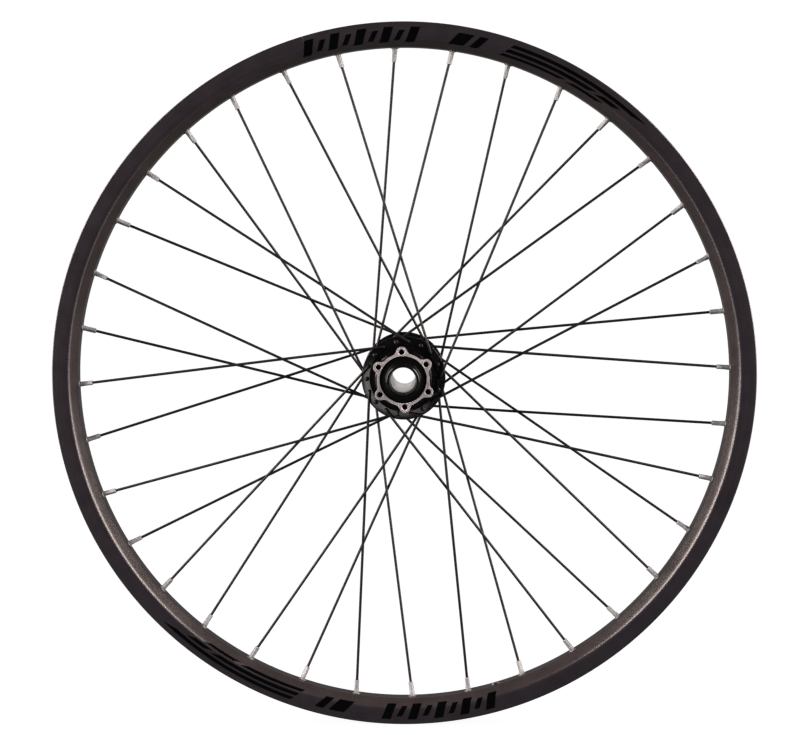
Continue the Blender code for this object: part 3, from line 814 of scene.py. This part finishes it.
shell_loop = densified(rounded(SHELL, 6), 3.5)
hub = loose("hub_shell_finish", mesh_from(
    "hub_shell_finish", lathe(shell_loop, around(HUB_SEGMENTS, HUB_PHASE)), [HUB, MACHINED, THREAD]))
add_disc_mount(hub)
cutters = [(bore_cutter(), PLAIN)]
cutters += [(bolt_cutter(angle), TAPPED) for angle in BOLT_DEGS]
cutters += [(spoke_hole_cutter(i), PLAIN) for i in range(SPOKES)]
marks = [mark for solid, mark in cutters for _ in solid[1]]
carve(hub, merged([solid for solid, _ in cutters]), [HUB, MACHINED, THREAD], marks)
smooth(hub.data, 28)
attach(hub, "wheel", ["hub_shell"])

# ------------------------------------------------------------------------------ axle, end caps
TUBE_END = END_Y - CAP_LEAD - 0.3
LEFT_STEP = LEFT_BEARING - BEARING_HALF - 1.6
RIGHT_STEP = RIGHT_BEARING + BEARING_HALF + 1.6
# (y, r, corner radius)
AXLE_OUTLINE = [
    (-TUBE_END, 11.3, 0.3), (LEFT_STEP, 11.3, 0.3), (LEFT_STEP, 12.46, 0.3),
    (LEFT_SHOULDER, 12.46, 0.1), (LEFT_SHOULDER, 13.9, 0.3), (RIGHT_SHOULDER, 13.9, 0.3),
    (RIGHT_SHOULDER, 12.46, 0.1), (RIGHT_STEP, 12.46, 0.3), (RIGHT_STEP, 11.3, 0.2),
    (TUBE_END, 11.3, 0.2), (TUBE_END, 10.15, 0.3), (-TUBE_END, 10.15, 0.3),
]
axle_loop = densified(rounded(AXLE_OUTLINE, 3), 8.0)
tube = finish("hollow_axle", lathe(axle_loop, around(128)), AXLE, "axle")


def end_cap(node, side, bearing_y):
    """A cap from its bearing to the axle's end. side is -1 for -Y and 1 for +Y."""
    face = side * bearing_y + BEARING_HALF + 0.25
    # (distance from the wheel's middle, r, corner radius)
    outline = [
        (face, 12.6, 0.0), (face, 18.2, 0.2), (face + 1.35, 18.2, 0.5), (face + 1.6, 16.4, 0.5),
        (face + 2.2, 13.9, 0.6), (47.0, 13.6, 1.0),
        (49.4, 13.5, 0.1), (49.4, 13.0, 0.1), (50.6, 13.0, 0.1), (50.6, 13.45, 0.1),
        (END_Y - 0.7, 13.4, 0.25), (END_Y, 12.4, 0.3), (END_Y, CAP_MOUTH_R, 0.15),
        (END_Y - CAP_LEAD, 10.05, 0.1), (END_Y - CAP_LEAD, 11.45, 0.1),
        (face + 1.9, 11.45, 0.1), (face + 1.9, 12.6, 0.1),
    ]
    loop = rounded([(side * y, r, fillet) for y, r, fillet in outline])
    finish(node, lathe(densified(loop, 3.0), around(144)), CAP, "axle")


end_cap("end_cap_left", -1.0, LEFT_BEARING)
end_cap("end_cap_right", 1.0, RIGHT_BEARING)

# ------------------------------------------------------------------------------ bearings
BALLS = 12
BALL_R = 1.72
BALL_PITCH_R = 15.5
GROOVE_HALF, GROOVE_DEPTH = 1.9, 0.85
OUTER_LAND_R, INNER_LAND_R = 16.6, 14.35    # the races' faces beside the ball groove


def groove(y, land_r, way):
    """A ball groove cut outwards (way 1) or inwards (way -1) from a race's land."""
    return [(y + way * GROOVE_HALF * math.cos(a), land_r + way * GROOVE_DEPTH * math.sin(a), 0.0)
            for a in np.linspace(0.0, math.pi, 9)]


def races(label, y):
    near, far = y - BEARING_HALF, y + BEARING_HALF
    outer = [(near, 16.75, 0.15), (near, 18.5, 0.35), (far, 18.5, 0.35), (far, 16.75, 0.15),
             (y + 2.4, 16.75, 0.05), (y + 2.4, OUTER_LAND_R, 0.0)]
    outer += groove(y, OUTER_LAND_R, 1)
    outer += [(y - 2.4, OUTER_LAND_R, 0.0), (y - 2.4, 16.75, 0.05)]
    inner = [(near, 12.5, 0.3), (near, 14.25, 0.15)]
    inner += groove(y, INNER_LAND_R, -1)
    inner += [(far, 14.25, 0.15), (far, 12.5, 0.3)]
    for part, outline, body in (("outer_race", outer, "wheel"), ("inner_race", inner, "axle")):
        finish(f"bearing_{label}_{part}", lathe(rounded(outline, 3), around(120)),
               STEEL, body)


def seals(label, y):
    side = 1 if y > 0 else -1
    for place, way in (("outside", side), ("inside", -side)):
        face = y + way * (BEARING_HALF - 0.15)
        # (depth below the seal's face, r, corner radius)
        outline = [(0.15, 14.45, 0.1), (0, 14.9, 0.2), (0, 16.1, 0.2), (0.1, 16.7, 0.2),
                   (0.75, 16.7, 0.1), (0.6, 15.6, 0.3), (0.75, 14.45, 0.1)]
        loop = rounded([(face - way * depth, r, fillet) for depth, r, fillet in outline], 3)
        finish(f"bearing_{label}_seal_{place}", lathe(loop, around(120)),
               RUBBER, "wheel")


def ball_cage(label, y):
    """A crown cage: a ring on the -Y side of the balls, with a finger between each two."""
    rings = []
    for k in range(BALLS * 8):
        angle = 360.0 * k / (BALLS * 8)
        between = 0.5 - 0.5 * math.cos(math.radians(angle * BALLS))
        back, tip = y - 2.3, y - 1.8 + between ** 3 * 2.6
        section = np.array([(back, 14.95), (back, 16.05), (tip, 16.05), (tip, 14.95)])
        rings.append(ring_at(section, angle))
    finish(f"bearing_{label}_ball_cage", stacked(rings, closed=True),
           BRASS, f"ball_cage_{label}")


def balls(label, y):
    bm = bmesh.new()
    for angle in around(BALLS):
        spot = Matrix.Translation(Vector(polar(BALL_PITCH_R, y, angle) * MM))
        bmesh.ops.create_icosphere(bm, subdivisions=3, radius=BALL_R * MM, matrix=spot)
    mesh = bpy.data.meshes.new(f"bearing_{label}_balls")
    bm.to_mesh(mesh)
    bm.free()
    mesh.materials.append(BALL)
    mesh.shade_smooth()
    piece(f"bearing_{label}_balls", mesh, f"ball_cage_{label}", ())


for label, y in (("left", LEFT_BEARING), ("right", RIGHT_BEARING)):
    races(label, y)
    seals(label, y)
    ball_cage(label, y)
    balls(label, y)

# ------------------------------------------------------------------------------ decals
# Plain slanted bars and stripes on the side walls: thin flat film that follows the rim's skin.
FILM_FACES = (0.02, 0.11)       # heights of the film's two faces above the skin
# In the tables, "down" is the distance along the skin from the side wall's outer edge.
# Angles are past the start of their group: (outer from, outer to, inner from, inner to).
BAR_WIDTHS = [1.5, 0.9, 1.5, 0.9, 1.5, 0.9, 1.5, 0.9, 1.5]
BAR_SLANT, BAR_GAP = 1.0, 1.0
WIDE_BAR_DOWN, THIN_BAR_DOWN = (3.6, 17.4), (6.2, 14.8)
BLOCKS_START, BLOCK_DOWN = 24.9, (5.0, 15.4)
BLOCKS = [(1.6, 4.2, 0.0, 2.6), (5.2, 6.6, 3.6, 5.0)]
STRIPES_START = 34.4
STRIPES = [                     # the four angles, then down at the outer and inner edges
    (1.4, 26.6, 0.9, 24.0, 4.2, 6.9),
    (0.7, 17.0, 0.2, 15.4, 8.6, 11.3),
    (18.4, 22.0, 16.8, 20.4, 8.6, 11.3),
    (-0.1, 11.5, -0.6, 10.0, 13.1, 15.8),
    (13.0, 19.0, 11.5, 17.5, 13.1, 15.8),
]

# The skin's path from the side wall's outer edge in to the bed, trimmed at both ends
side_path = rounded([
    (SIDE_Y - 0.5, RIM_R, 0.0), (SIDE_Y, RIM_R - 0.5, 0.0), (SIDE_Y, CREASE_R, SIDE_FILLET),
    (6.3, BED_R, BED_FILLET), (0.0, BED_R, 0.0)], 6)[1:-2]
path_down = np.r_[0, np.cumsum(np.linalg.norm(np.diff(side_path, axis=0), axis=1))]


def skin_at(down, lift):
    """The skin's (y, r) at this distance from its outer edge, raised by lift."""
    def on_path(s):
        return np.array([np.interp(s, path_down, side_path[:, k]) for k in (0, 1)])

    tangent = unit(on_path(down + 0.3) - on_path(down - 0.3))
    normal = np.array((-tangent[1], tangent[0]))
    if normal[0] < 0:
        normal = -normal
    return on_path(down) + normal * lift


def film(outer, inner, down, side):
    """A patch between an outer and an inner edge, each a (from, to) pair of angles.
    down is the two edges' distance along the skin."""
    rows = max(2, int(abs(down[1] - down[0]) / 0.35) + 1)
    cols = max(2, int(max(abs(outer[1] - outer[0]), abs(inner[1] - inner[0])) / 0.8) + 1)
    points = []
    for lift in FILM_FACES:
        for i in range(rows + 1):
            w = i / rows
            y, r = skin_at(down[0] + (down[1] - down[0]) * w, lift)
            start = outer[0] + (inner[0] - outer[0]) * w
            end = outer[1] + (inner[1] - outer[1]) * w
            points += [polar(r, side * y, start + (end - start) * j / cols)
                       for j in range(cols + 1)]
    width = cols + 1
    count = (rows + 1) * width
    faces = []
    for i in range(rows):
        for j in range(cols):
            a = i * width + j
            faces.append((a, a + 1, a + width + 1, a + width))
            faces.append((count + a, count + a + width, count + a + width + 1, count + a + 1))
    edge = list(range(width)) + [i * width + cols for i in range(1, rows + 1)]
    edge += [rows * width + j for j in range(cols - 1, -1, -1)]
    edge += [i * width for i in range(rows - 1, 0, -1)]
    for a, b in zip(edge, edge[1:] + edge[:1]):
        faces.append((a, count + a, count + b, b))
    return np.array(points), faces


def decal_set(start, side):
    """Bars, a pair of blocks and long stripes, in order of angle from start."""
    bars = []
    a = start
    for k, width in enumerate(BAR_WIDTHS):
        down = WIDE_BAR_DOWN if k % 2 == 0 else THIN_BAR_DOWN
        bars.append(film((a + BAR_SLANT, a + BAR_SLANT + width), (a, a + width), down, side))
        a += width + BAR_GAP

    def group(base, rows):
        return [film((base + row[0], base + row[1]), (base + row[2], base + row[3]), row[4:], side)
                for row in rows]

    blocks = group(start + BLOCKS_START, [row + BLOCK_DOWN for row in BLOCKS])
    return {"bars": bars, "blocks": blocks, "stripes": group(start + STRIPES_START, STRIPES)}


for side, tag in ((-1, "left"), (1, "right")):
    for start, place in ((342.6, "a"), (163.6, "b")):
        for kind, films in decal_set(start, side).items():
            name = f"decal_{tag}_{place}_{kind}"
            piece(name, mesh_from(name, merged(films), [DECAL], sharp=40), "wheel", ())

# ------------------------------------------------------------------------------ studio
# From here on lengths are in metres, except the camera's place.
scene = bpy.context.scene
scene.view_settings.view_transform = "Standard"
scene.view_settings.look = "None"
scene.view_settings.exposure = 0.0
scene.view_settings.gamma = 0.8

FLOOR_Z = -RIM_R * MM - 0.0004
FLOOR_FRONT, FLOOR_BACK = -1.2, 0.6
SWEEP_R = 0.9
WALL_TOP = 5.0
STUDIO_HALF_W = 7.0


def stage_material(name, seen, reflected):
    """A pale backlit sweep: it glows evenly where the camera sees it, and less in reflections.
    It can be looked through from behind and from below."""
    mat, tree, shader = new_material(name)
    mat.cycles.emission_sampling = "NONE"
    coord = tree.nodes.new("ShaderNodeTexCoord").outputs["Object"]
    shade = blend(tree, noise(tree, coord, scale=3.0), (0.40, 0.40, 0.40), (0.42, 0.42, 0.42))
    tree.links.new(shade, shader.inputs["Base Color"])
    shader.inputs["Roughness"].default_value = 0.9
    shader.inputs["Specular IOR Level"].default_value = 0.0
    camera_ray = tree.nodes.new("ShaderNodeLightPath").outputs["Is Camera Ray"]
    shader.inputs["Emission Color"].default_value = (1.0, 1.0, 1.0, 1.0)
    glow = ranged(tree, camera_ray, (0.0, 1.0), (reflected, seen))
    tree.links.new(glow, shader.inputs["Emission Strength"])
    behind = tree.nodes.new("ShaderNodeNewGeometry").outputs["Backfacing"]
    tree.links.new(ranged(tree, behind, (0.0, 1.0), (1.0, 0.0)), shader.inputs["Alpha"])
    return mat


def studio_sweep():
    """A floor that sweeps up into a back wall."""
    profile = [(FLOOR_FRONT, 0.0), (FLOOR_BACK, 0.0)]
    for a in np.linspace(0, math.pi / 2, 17)[1:]:
        profile.append((FLOOR_BACK + SWEEP_R * math.sin(a), SWEEP_R - SWEEP_R * math.cos(a)))
    profile.append((FLOOR_BACK + SWEEP_R, WALL_TOP))
    points = [(x, y, z + FLOOR_Z) for x in (-STUDIO_HALF_W, STUDIO_HALF_W) for y, z in profile]
    n = len(profile)
    mesh = bpy.data.meshes.new("studio_sweep")
    mesh.from_pydata(points, [], [(k, n + k, n + k + 1, k + 1) for k in range(n - 1)])
    mesh.materials.append(stage_material("studio_paper", seen=0.965, reflected=0.20))
    mesh.shade_smooth()
    return loose("studio_sweep", mesh)


sweep = studio_sweep()


# ------------------------------------------------------------------------------ lights
def light_group(name, objects):
    group = bpy.data.collections.new(name)
    for obj in objects:
        group.objects.link(obj)
    return group


wheel_parts = [obj for obj in bpy.data.objects if obj.type == "MESH" and obj != sweep]
lit = light_group("lit_by_softboxes", wheel_parts)
bore_only = light_group("lit_by_bore_lamp", [tube])
hub_only = light_group("lit_by_cards", [hub])


def softbox(name, position, size, power, colour, receivers):
    """An area lamp aimed at the wheel's centre. The camera doesn't see it."""
    lamp = bpy.data.lights.new(name, "AREA")
    lamp.shape = "RECTANGLE"
    lamp.size, lamp.size_y = size
    lamp.energy = power
    lamp.color = colour
    obj = loose(name, lamp)
    obj.location = position
    look = Vector((0, 0, 0)) - Vector(position)
    obj.rotation_euler = look.to_track_quat("-Z", "Y").to_euler()
    obj.light_linking.receiver_collection = receivers
    obj.light_linking.blocker_collection = lit
    obj.visible_camera = False


WARM = (1.0, 0.925, 0.87)
SOFT = (1.0, 0.95, 0.94)
# name, position, size, power in watts, colour, what it lights
LAMPS = [
    ("softbox_left", (-1.60, -0.14, 0.50), (0.9, 1.5), 84, WARM, lit),
    ("softbox_right", (1.60, -0.14, 0.56), (0.9, 1.3), 74, WARM, lit),
    ("strip_left", (-1.30, -0.92, 0.53), (0.30, 1.40), 54, WARM, lit),
    ("strip_right", (1.36, -0.84, 0.58), (0.30, 1.30), 52, WARM, lit),
    ("bounce_left", (-1.30, -0.92, -0.65), (0.35, 0.8), 9, WARM, lit),
    ("bounce_right", (1.36, -0.84, -0.60), (0.35, 0.8), 6, WARM, lit),
    ("card_left", (-0.235, -0.57, -0.08), (0.10, 0.20), 0.55, SOFT, hub_only),
    ("card_low_left", (-0.17, -0.57, -0.215), (0.12, 0.10), 0.25, SOFT, hub_only),
    ("card_low", (0.0, -0.50, -0.225), (0.26, 0.08), 0.32, SOFT, hub_only),
    ("bore_lamp", (0.0, 0.9, 0.10), (0.4, 0.4), 0.90, SOFT, bore_only),
]
for lamp_row in LAMPS:
    softbox(*lamp_row)

# The air is bright where the camera sees it, and dim as a light.
AIR_SEEN, AIR_LIGHT = 1.06, 0.105
world = bpy.data.worlds.new("studio_air")
scene.world = world
world.cycles.sampling_method = "NONE"
world.use_nodes = True
air = world.node_tree
background = air.nodes["Background"]
background.inputs["Color"].default_value = (0.95, 0.97, 1.0, 1.0)
seen_air = air.nodes.new("ShaderNodeLightPath").outputs["Is Camera Ray"]
air.links.new(ranged(air, seen_air, (0.0, 1.0), (AIR_LIGHT, AIR_SEEN)),
              background.inputs["Strength"])

# ------------------------------------------------------------------------------ camera
CAMERA_AT = (22.2561, -1682.3625, 135.6906)     # millimetres
CAMERA_PITCH, CAMERA_YAW = 0.07672, 0.01479     # radians
pitch_c, pitch_s = math.cos(CAMERA_PITCH), math.sin(CAMERA_PITCH)
yaw_c, yaw_s = math.cos(CAMERA_YAW), math.sin(CAMERA_YAW)
pitched = np.array([[1, 0, 0], [0, pitch_c, -pitch_s], [0, pitch_s, pitch_c]])
yawed = np.array([[yaw_c, 0, yaw_s], [0, 1, 0], [-yaw_s, 0, yaw_c]])
level = np.array([[1, 0, 0], [0, 0, -1], [0, 1, 0]], float)     # right, down, forward along +Y
right, down, forward = pitched @ yawed @ level
pose = np.eye(4)
pose[:3, :3] = np.column_stack((right, -down, -forward))
pose[:3, 3] = np.array(CAMERA_AT) * MM

camera = bpy.data.cameras.new("camera")
camera.sensor_width = 36.0
camera.lens = 93.1248
camera.shift_x, camera.shift_y = -0.000775, 0.000625
camera.clip_start, camera.clip_end = 0.05, 20.0
camera_obj = loose("camera", camera)
camera_obj.matrix_world = Matrix(pose.tolist())
scene.camera = camera_obj
